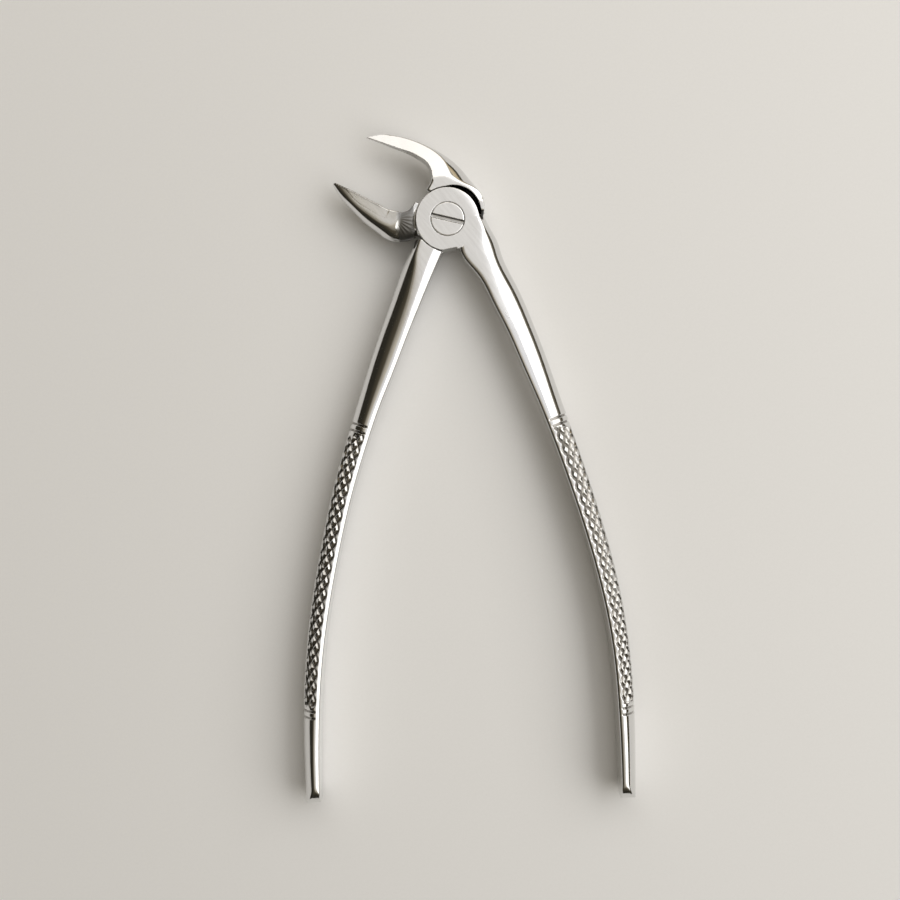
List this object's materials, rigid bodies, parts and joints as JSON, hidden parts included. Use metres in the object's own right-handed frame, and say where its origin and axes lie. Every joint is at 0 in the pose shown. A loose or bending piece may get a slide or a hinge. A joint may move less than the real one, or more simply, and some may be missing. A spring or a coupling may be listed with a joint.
{
  "type": "dental extraction forceps",
  "caption": "Lower extraction forceps: two crossed levers on one screw, right-angled narrow grooved beaks, knurled handles.",
  "frame": {"origin": "on the pivot axis of the joint, at the flat ground back of the rear lever", "axes": "+Z along the pivot from the back towards the slotted screw head, handles towards -Y, beaks towards -X, open as pictured"},
  "size_m": [0.0882, 0.1789, 0.0126],
  "materials": {
    "rear_lever": "mirror-polished stainless steel, satin-ground flats around the joint",
    "front_lever": "mirror-polished stainless steel, satin-ground joint disc",
    "joint_screw": "satin-ground stainless steel with a bright chamfer"
  },
  "bodies": {
    "rear": {"rear_lever": "rear_lever", "joint_screw": "joint_screw"},
    "front": {"front_lever": "front_lever"}
  },
  "joints": [
    {"name": "jaw_hinge", "type": "hinge", "parent": "rear", "child": "front", "pos_m": [0, 0, 0.0048], "axis": [0, 0, -1], "range_deg": [-4, 25]}
  ]
}
